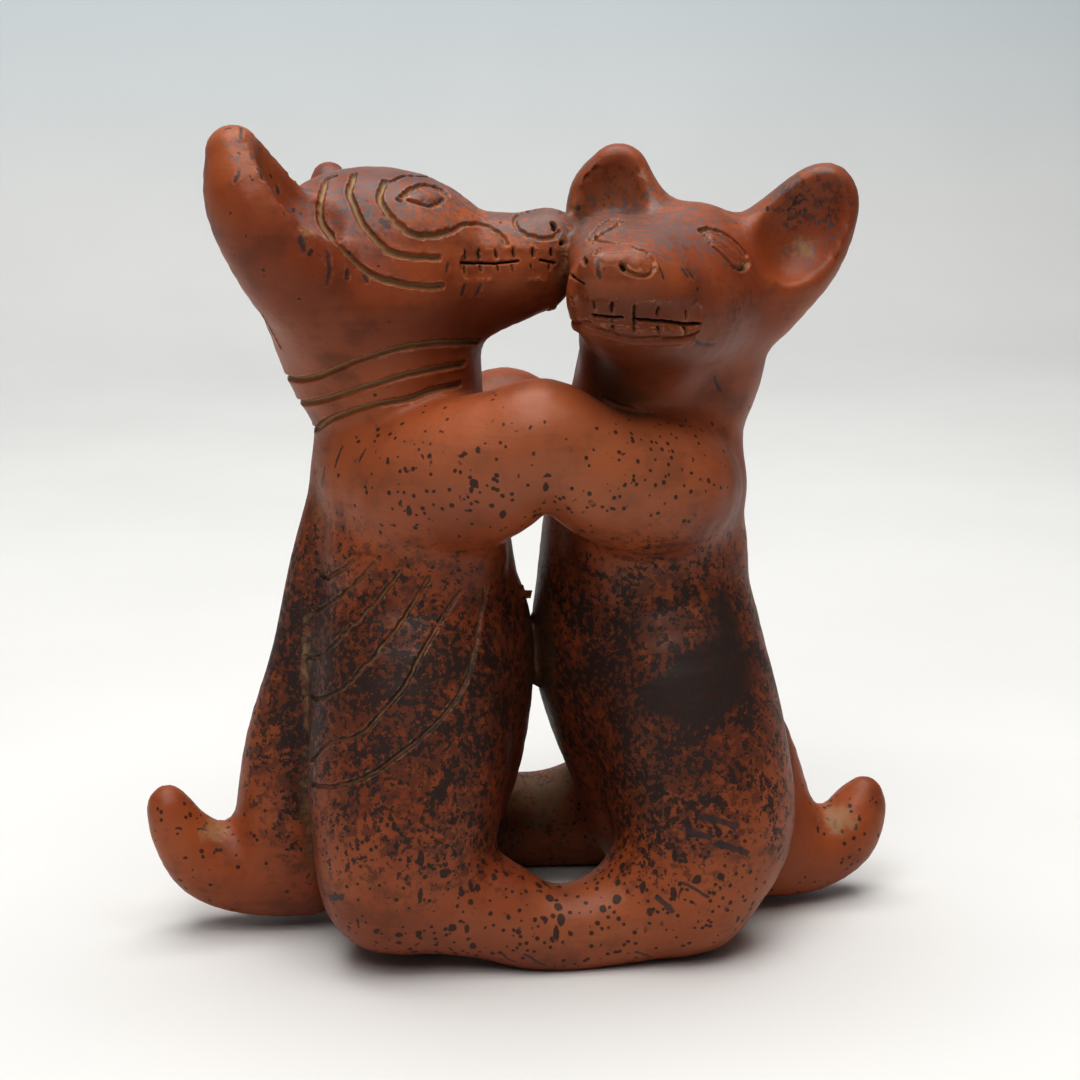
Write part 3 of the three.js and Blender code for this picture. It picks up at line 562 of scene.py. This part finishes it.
mottle = stains((1.2, (-15, -16, 34), (13, 18, 13)), (1.0, (-27, -2, 32), (6, 12, 20)),
                (0.3, (-14, -18, 17), (14, 10, 8)), (1.0, (-13, 14, 28), (15, 14, 20)),
                (1.0, (13, -14, 36), (14, 16, 14)), (0.8, (24, -8, 28), (9, 14, 14)),
                (0.5, (14, -20, 20), (12, 10, 8)), (1.0, (16, 13, 30), (15, 14, 20)),
                (0.45, (34.5, -6, 90), (5, 6, 4)), (0.25, (12, -5, 93), (4, 5, 3)),
                (0.22, (21, -12, 79), (8, 10, 9)), (0.25, (-20, -9, 88), (7, 8, 5)))
freckle = stains((0.8, (-12, -20, 14), (16, 12, 12)), (0.9, (16, -20, 16), (14, 12, 10)),
                 (0.6, (0, -18, 6), (26, 8, 6)), (0.85, (-10, -16, 60), (14, 10, 7)),
                 (0.8, (10, -16, 60), (13, 10, 7)), (0.6, (-2, 14, 10), (24, 12, 14)),
                 (0.6, (-40, -2, 12), (8, 8, 10)), (0.6, (42, -2, 10), (8, 8, 10)),
                 (0.35, (-30, -9, 92), (6, 8, 8)), (0.3, (-22, -9, 86), (6, 8, 5)),
                 (0.4, (9, -5, 88), (5, 6, 4)))
# A grey bloom on the heads, kept further on to faces that look up: partly the clay's grey spots, partly a
# painted sheen of the top lamp.
grey_bloom_and_sheen = stains((1.0, (-16, 0, 92), (14, 14, 6)), (0.8, (3, -3, 88), (7, 8, 3)),
               (1.0, (12, -14, 89), (12, 14, 6)), (0.9, (34, -5, 90), (7, 8, 7)),
               (0.5, (11, -3, 92), (5, 6, 6)), (0.5, (-32, -9, 97), (5, 8, 4)))
smoke = stains((1.0, (21, -18, 34.5), (6, 8, 4.6)), (0.65, (22.5, -14, 42), (4, 8, 6)),
               (0.6, (15, -20, 33), (5, 8, 3)), (0.5, (-16, -20, 34), (8, 8, 8)),
               (0.7, (16, 18, 32), (9, 10, 8)), (0.5, (-14, 18, 30), (9, 10, 9)))
earth = stains((0.9, (-38.5, -3, 13.6), (3, 4, 2)), (1.0, (40.6, -3, 11), (3.2, 4, 2.2)),
               (1.0, (-25.4, -14, 89), (2, 5, 2)), (0.85, (33.2, -6, 84.6), (2.8, 4, 2.1)),
               (0.6, (-15.5, -24.6, 18.8), (1.2, 3, 1)), (0.9, (4, 14, 10), (10, 6, 8)),
               (0.5, (-27, -6, 14), (1.6, 4, 7)), (0.75, (-26.8, -5.6, 36), (1.1, 3, 18)),
               (0.6, (-24.8, -3.6, 53), (1.2, 3, 5)))
# Painted shade: darker under the jaws, chins and throats, where the heads hang over them.
deep = stains((0.9, (-12, -9, 76.5), (11, 10, 4.6)), (0.7, (-25, -10, 82), (5, 8, 7)),
              (0.9, (10, -24, 80), (9, 7, 3)), (1.1, (12, -18, 74), (10, 10, 4)),
              (0.5, (-31, -10, 88), (4, 6, 8)), (0.35, (7, -8, 69), (5, 8, 5)))
# Painted light: the tops of the arms, the right dog's head and the near leg bar are made paler where the
# lamps fall on them.
painted_light = stains((0.9, (-9, -19, 61), (13, 9, 5.5)), (0.9, (10, -19, 60), (11, 9, 5.5)),
              (0.6, (0, -20, 67), (7, 6, 3)), (0.9, (11, -3, 90), (5, 8, 5)),
              (0.7, (0, -22, 6), (16, 6, 4)))
print("mottled share", mottle.mean().round(2), "freckled share", freckle.mean().round(2))

# %% The dogs
# The grey bloom is kept to faces that look up, so it is partly grey spots and partly a painted sheen of the
# top lamp.
dogs = make_mesh("dogs", (carved - middle) * SHARE, facets,
                 {"groove": groove / MM, "burr": burr, "slit_shade": slit_shade, "paint": paint, "hollow": hollow,
                  "mottle": mottle, "freckle": freckle, "grey_bloom_and_sheen": grey_bloom_and_sheen * np.clip(normal[:, 2] + 0.4, 0, 1),
                  "smoke": smoke, "earth": earth, "deep": deep, "painted_light": painted_light})
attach(dogs, "root")
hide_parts("embracing_dogs")
print(len(dogs.data.polygons), "triangles")

# %% [markdown]
# ## Clay
# The pair was coated with a thin red slip, rubbed with a smooth stone until it shone, and fired in the
# open, so the red wanders between brick and brown and keeps faint upright strokes. Photographs of pottery
# could be wrapped round it; formulas on the piece's own coordinates need no seams and stay sharp from
# close by. They are written with a small class: a Wire is an output of a node, and each +, - and * on it
# adds one Math node.


# %% Wire
class Wire:
    """An output in a material's tree, used in formulas such as 1 - a * b."""

    def __init__(self, tree, socket=None):
        self.tree, self.socket = tree, socket

    def node(self, kind, settings=None, inputs=None, out=0):
        """One node of a kind: its settings first, then its inputs by name or number."""
        made = self.tree.nodes.new("ShaderNode" + kind)
        for name, value in (settings or {}).items():
            setattr(made, name, value)
        for key, value in (inputs or {}).items():
            if isinstance(value, Wire):
                self.tree.links.new(value.socket, made.inputs[key])
            else:
                made.inputs[key].default_value = value
        return Wire(self.tree, made.outputs[out])

    def math(self, operation, a, b):
        """One Math node on two wires or numbers."""
        return self.node("Math", {"operation": operation}, {0: a, 1: b})

    def most(self, b):
        """The larger of two numbers."""
        return self.math("MAXIMUM", self, b)

    def __add__(self, b):
        return self.math("ADD", self, b)

    def __radd__(self, b):
        return self.math("ADD", b, self)

    def __sub__(self, b):
        return self.math("SUBTRACT", self, b)

    def __rsub__(self, b):
        return self.math("SUBTRACT", b, self)

    def __mul__(self, b):
        return self.math("MULTIPLY", self, b)

    def __rmul__(self, b):
        return self.math("MULTIPLY", b, self)

    def ramp(self, low, high):
        """Smooth step: 0 under low, 1 over high, t*t*(3 - 2t) between."""
        return self.node("MapRange", {"interpolation_type": "SMOOTHSTEP"}, {0: self, 1: low, 2: high})

    def blend(self, a, b):
        """Colour a*(1 - f) + b*f, with this wire as f."""
        return self.node("Mix", {"data_type": "RGBA"}, {0: self, 6: a, 7: b}, out=2)

    def noise(self, scale, detail, rough):
        """Cloudy noise, 0 to 1, over the place that this wire holds; scale is in lumps per metre."""
        return self.node("TexNoise", None,
                         {"Vector": self, "Scale": scale, "Detail": detail, "Roughness": rough})

    def turned(self, angles, sizes):
        """The place turned by angles in radians and scaled, so that noise on it slants and stretches."""
        return self.node("Mapping", None, {"Vector": self, "Rotation": angles, "Scale": sizes})

    def value(self, name):
        """A number kept on the mesh's points."""
        return self.node("Attribute", {"attribute_name": name}, out=2)


def new_material(name):
    """An empty surface: its tree as a wire, and its Principled shader."""
    made = bpy.data.materials.new(name)
    made.use_nodes = True
    return made, Wire(made.node_tree), made.node_tree.nodes["Principled BSDF"]


def feed(wire, shader, key):
    """Joins a wire to one of the shader's inputs."""
    wire.tree.links.new(wire.socket, shader.inputs[key])


# %% Burnished red clay: body colour, burnishing, painted light and painted shade
RED, ORANGE, BROWN = (0.22, 0.046, 0.0135, 1), (0.32, 0.084, 0.027, 1), (0.092, 0.025, 0.0115, 1)
# A paler and a darker copy of the red clay, for painted light and painted shade.
LIT_RED, SHADED = (0.34, 0.125, 0.060, 1), (0.085, 0.019, 0.007, 1)
clay, w, shader = new_material("burnished red clay")
place = w.node("TexCoord", out="Object")
thick = w.value("mottle")
base = place.noise(26, 5, 0.55).ramp(0.36, 0.66).blend(RED, ORANGE)
strokes = place.turned((0, 0, 0), (0.06, 0.06, 1)).noise(520, 4, 0.6)
cloud = place.noise(75, 4, 0.62)
base = ((cloud + 0.25 * strokes).ramp(0.58, 0.85) * 0.6).blend(base, BROWN)
base = (thick * 0.5).blend(base, BROWN)
# Painted light on the tops of the arms, a head and the near leg bar.
base = (w.value("painted_light") * 0.55).blend(base, LIT_RED)
# Painted shade under the jaws, chins and throats.
base = (w.value("deep") * 0.85).blend(base, SHADED)
print("nodes of the red slip", len(clay.node_tree.nodes))

# %% [markdown]
# ## Mottling, freckles, bloom with painted sheen, and smoke
# Black minerals from the ground cover the flanks in ragged clumps, and lighter places carry single dots.
# Noise that is cut off sharply gives clumps but no separate dots, so the dots sit in the cells of a
# Voronoi scatter, in three sizes, one of them slanted. The stains on the mesh say how dense each is.

# %% Clumps, from three sizes of noise that later finishes read again
BLACK, DULL = (0.020, 0.012, 0.010, 1), (0.070, 0.022, 0.012, 1)
sharp, middling, broad = place.noise(620, 6, 0.68), place.noise(330, 5, 0.66), place.noise(130, 5, 0.62)
fine = sharp + 0.5 * (broad - 0.5)
dull = (middling + 0.17 * thick).ramp(0.56, 0.63) * (thick * 3).ramp(0.1, 0.9)
base = (dull * 0.68).blend(base, DULL)
dark = (fine + 0.17 * thick).ramp(0.625, 0.655) * (thick * 3).ramp(0.1, 0.9)
base = (dark * 0.9).blend(base, BLACK)
some = w.value("freckle")
print("nodes with the clumps", len(clay.node_tree.nodes))


# %% Freckles
def freckles(at, scale, least, most, share):
    """Dots in the cells of a scatter: dark where the distance to the cell's point is under a size that
    noise picks, in the share of places where slow noise plus the freckle value is over a level."""
    near = at.node("TexVoronoi", None, {"Vector": at, "Scale": scale, "Randomness": 1.0})
    size = least + (most - least) * place.noise(scale * 0.9, 2, 0.5)
    ragged = near + 0.12 * (place.noise(scale * 5, 3, 0.6) - 0.5)
    there = (place.noise(scale * 0.45, 2, 0.5) + some * 0.5 - share).ramp(0.0, 0.03)
    return (1 - (ragged - size).ramp(-0.03, 0.03)) * there


dots = freckles(place, 460, 0.02, 0.46, 0.69)
blobs = freckles(place, 230, 0.05, 0.44, 0.87)
slanted = freckles(place.turned((0, 0.9, 0), (1, 1, 0.35)), 280, 0.05, 0.40, 0.86)
spots = dots.most(blobs).most(slanted)
base = (spots * 0.88).blend(base, BLACK)
print("nodes with the freckles", len(clay.node_tree.nodes))

# %% Bloom with painted sheen, smoke and streaks
BLOOM_AND_SHEEN, SMOKE, STREAK = (0.095, 0.075, 0.074, 1), (0.026, 0.016, 0.013, 1), (0.035, 0.024, 0.026, 1)
# Grey spots on the upward faces of the heads: partly the clay's own grey bloom, partly a painted sheen of
# the top lamp.
bloom_and_sheen = w.value("grey_bloom_and_sheen")
grains = (sharp + 0.18 * bloom_and_sheen).ramp(0.59, 0.646) * bloom_and_sheen.ramp(0.05, 0.5)
base = (grains * 0.75).blend(base, BLOOM_AND_SHEEN)
smoky = (w.value("smoke") + (place.noise(60, 6, 0.68) - 0.5) * 1.1).ramp(0.38, 0.72) * 0.88
base = smoky.blend(base, SMOKE)
streaks = (w.value("paint") + (sharp - 0.5) * 1.65).ramp(0.5, 0.75) * 0.85
base = streaks.blend(base, STREAK)
print("nodes with the bloom, smoke and streaks", len(clay.node_tree.nodes))

# %% [markdown]
# ## Earth, painted shade, burrs and sheen
# Pale earth has stayed in the lines and corners. Painted shade darkens the enclosed hollows, the burrs
# get a painted highlight, and the narrow slits of the mouths, nostrils and eyes are painted black as
# painted shade. All this follows values on the mesh's points, so it can't slide off the lines, and noise
# breaks its edges up. The burnished skin shines softly; earth and the painted shade in the slits are dull.
# Relief too small for facets is a bump.

# %% Earth in the lines and corners, painted shade in hollows and slits, painted highlight on burrs
# Earth is dirt in the clay; the dark brown is painted shade for hollows, the pale red a painted highlight
# for burrs, the near black painted shade for slits.
EARTH, SHADOW = (0.30, 0.19, 0.095, 1), (0.10, 0.055, 0.028, 1)
BURR_HIGHLIGHT, SLIT_SHADE_BLACK = (0.50, 0.25, 0.13, 1), (0.008, 0.006, 0.005, 1)
earthy = (w.value("groove") * (0.4 + 0.9 * place.noise(260, 4, 0.65))).ramp(0.25, 1.0) * 0.8
# Painted shade in the enclosed hollows.
hollow_shade = (w.value("hollow") + (broad - 0.5) * 0.53).ramp(0.66, 1.0) * 0.55
ground = (w.value("earth") + (middling - 0.5) * 1.54).ramp(0.4, 1.0) * 0.65
base = earthy.most(ground).blend(hollow_shade.blend(base, SHADOW), EARTH)
# Painted highlight on the burrs beside the lines.
pale = (w.value("burr") * (1.16 * middling + 0.07)).ramp(0.45, 0.85) * 0.45
base = pale.blend(base, BURR_HIGHLIGHT)
# Painted shade: near black in the narrow slits of the mouths, nostrils and eyes.
slit_shade_amount = w.value("slit_shade").ramp(0.25, 0.75) * 0.95
base = slit_shade_amount.blend(base, SLIT_SHADE_BLACK)
feed(base, shader, "Base Color")
print("nodes with the earth", len(clay.node_tree.nodes))

# %% Sheen and the small relief of the skin
marks = dark.most(spots)
rough = 0.36 + 0.16 * cloud + 0.10 * marks + 0.3 * earthy.most(ground) + 0.3 * slit_shade_amount
feed(rough, shader, "Roughness")
shader.inputs["Specular IOR Level"].default_value = 0.3
relief = 0.30 * place.noise(900, 3, 0.6) + 0.8 * place.noise(140, 4, 0.55) + 0.35 * strokes
feed(w.node("Bump", None, {"Strength": 0.4, "Distance": 0.0005, "Height": relief}), shader, "Normal")
dogs.data.materials.append(clay)
print("clay nodes", len(clay.node_tree.nodes))

# %% [markdown]
# ## Floor, light and camera
# A plain pale floor runs up into a plain pale wall in one bend, so that no edge shows behind the dogs. A
# plane with a bevelled corner could do it, but a profile carried sideways takes three lines. The wall is
# painted a little darker and bluer upwards, a painted shade. Large lamps keep the shadows soft. The camera
# stands a little to the left and looks down by 13 degrees.

# %% Floor and wall
NEAR_EDGE, BEND_START, BEND, WALL_TOP, HALF_WIDTH = -1.6, 0.9, 0.5, 3.0, 3.0      # metres
WARM, WARMER, BLUISH = (0.67, 0.66, 0.645, 1), (0.71, 0.70, 0.685, 1), (0.53, 0.60, 0.63, 1)
t = np.linspace(0, 1, 25)
depth = np.concatenate([[NEAR_EDGE], BEND_START + BEND * np.sin(t * np.pi / 2), [BEND_START + BEND]])
rise = np.concatenate([[0], BEND - BEND * np.cos(t * np.pi / 2), [WALL_TOP]])
rows = np.array([[[x, y, z] for x in (-HALF_WIDTH, HALF_WIDTH)] for y, z in zip(depth, rise)])
strip = np.arange(0, 2 * len(rows) - 2, 2)[:, None]
sweep = bpy.data.meshes.new("floor")
sweep.from_pydata(rows.reshape(-1, 3).tolist(), [], (strip + [0, 1, 3, 2]).tolist())
sweep.shade_smooth()
floor = bpy.data.objects.new("floor", sweep)
bpy.context.scene.collection.objects.link(floor)
paper, w, shader = new_material("pale paper")
place = w.node("TexCoord", out="Object")
height = w.node("SeparateXYZ", None, {0: place}, "Z")
white = place.noise(6, 3, 0.5).ramp(0.2, 0.8).blend(WARM, WARMER)
# Painted shade: the wall is painted darker and bluer upwards.
feed(height.ramp(0.0, 0.35).blend(white, BLUISH), shader, "Base Color")
shader.inputs["Roughness"].default_value = 0.7
floor.data.materials.append(paper)
print("floor and wall of", len(sweep.polygons), "strips")


# %% Lights
def area_light(name, place, target, size, watts, colour=(1, 1, 1)):
    """A square lamp of a size, turned to its target: its -Z axis along target - place."""
    data = bpy.data.lights.new(name, "AREA")
    data.shape, data.size, data.energy, data.color = "SQUARE", size, watts, colour
    lamp = bpy.data.objects.new(name, data)
    bpy.context.scene.collection.objects.link(lamp)
    lamp.location = place
    lamp.rotation_euler = (Vector(target) - Vector(place)).to_track_quat("-Z", "Y").to_euler()
    return lamp


area_light("top", (0.0, -0.10, 1.2), (0, 0, 0.1), 1.2, 14, (1.0, 0.985, 0.955))
area_light("front", (-0.35, -0.8, 1.1), (0, 0, 0.1), 0.6, 5)
area_light("wall", (0, 0.5, 1.6), (0, 1.3, 0.4), 1.2, 9)
print(len(bpy.data.lights), "lamps")

# %% The room's own light, and how it is shown
world = bpy.data.worlds.new("room")
world.use_nodes = True
world.node_tree.nodes["Background"].inputs["Color"].default_value = (0.86, 0.90, 0.95, 1)
world.node_tree.nodes["Background"].inputs["Strength"].default_value = 0.12
bpy.context.scene.world = world
bpy.context.scene.view_settings.view_transform = "Standard"
bpy.context.scene.view_settings.look = "Medium High Contrast"

# %% Camera
SENSOR, PHOTO_SIDE, PIXEL = 36, 1080, 0.00026      # millimetres, pixels, metres in a pixel at the dogs
AIM = Vector((0.0055, 0, 0.1015))                  # before the dogs were moved to the middle
angle, lift, far = math.radians(-8), math.radians(13), 0.640
aim = AIM - Vector(middle * SHARE)
back = Vector((math.sin(angle) * math.cos(lift), -math.cos(angle) * math.cos(lift), math.sin(lift)))
lens = bpy.data.cameras.new("camera")
lens.sensor_width = SENSOR
lens.lens = SENSOR * far / (PHOTO_SIDE * PIXEL)
camera = bpy.data.objects.new("camera", lens)
bpy.context.scene.collection.objects.link(camera)
camera.location = aim + far * back
camera.rotation_euler = (-back).to_track_quat("-Z", "Y").to_euler()
bpy.context.scene.camera = camera
print("lens", round(lens.lens, 2))
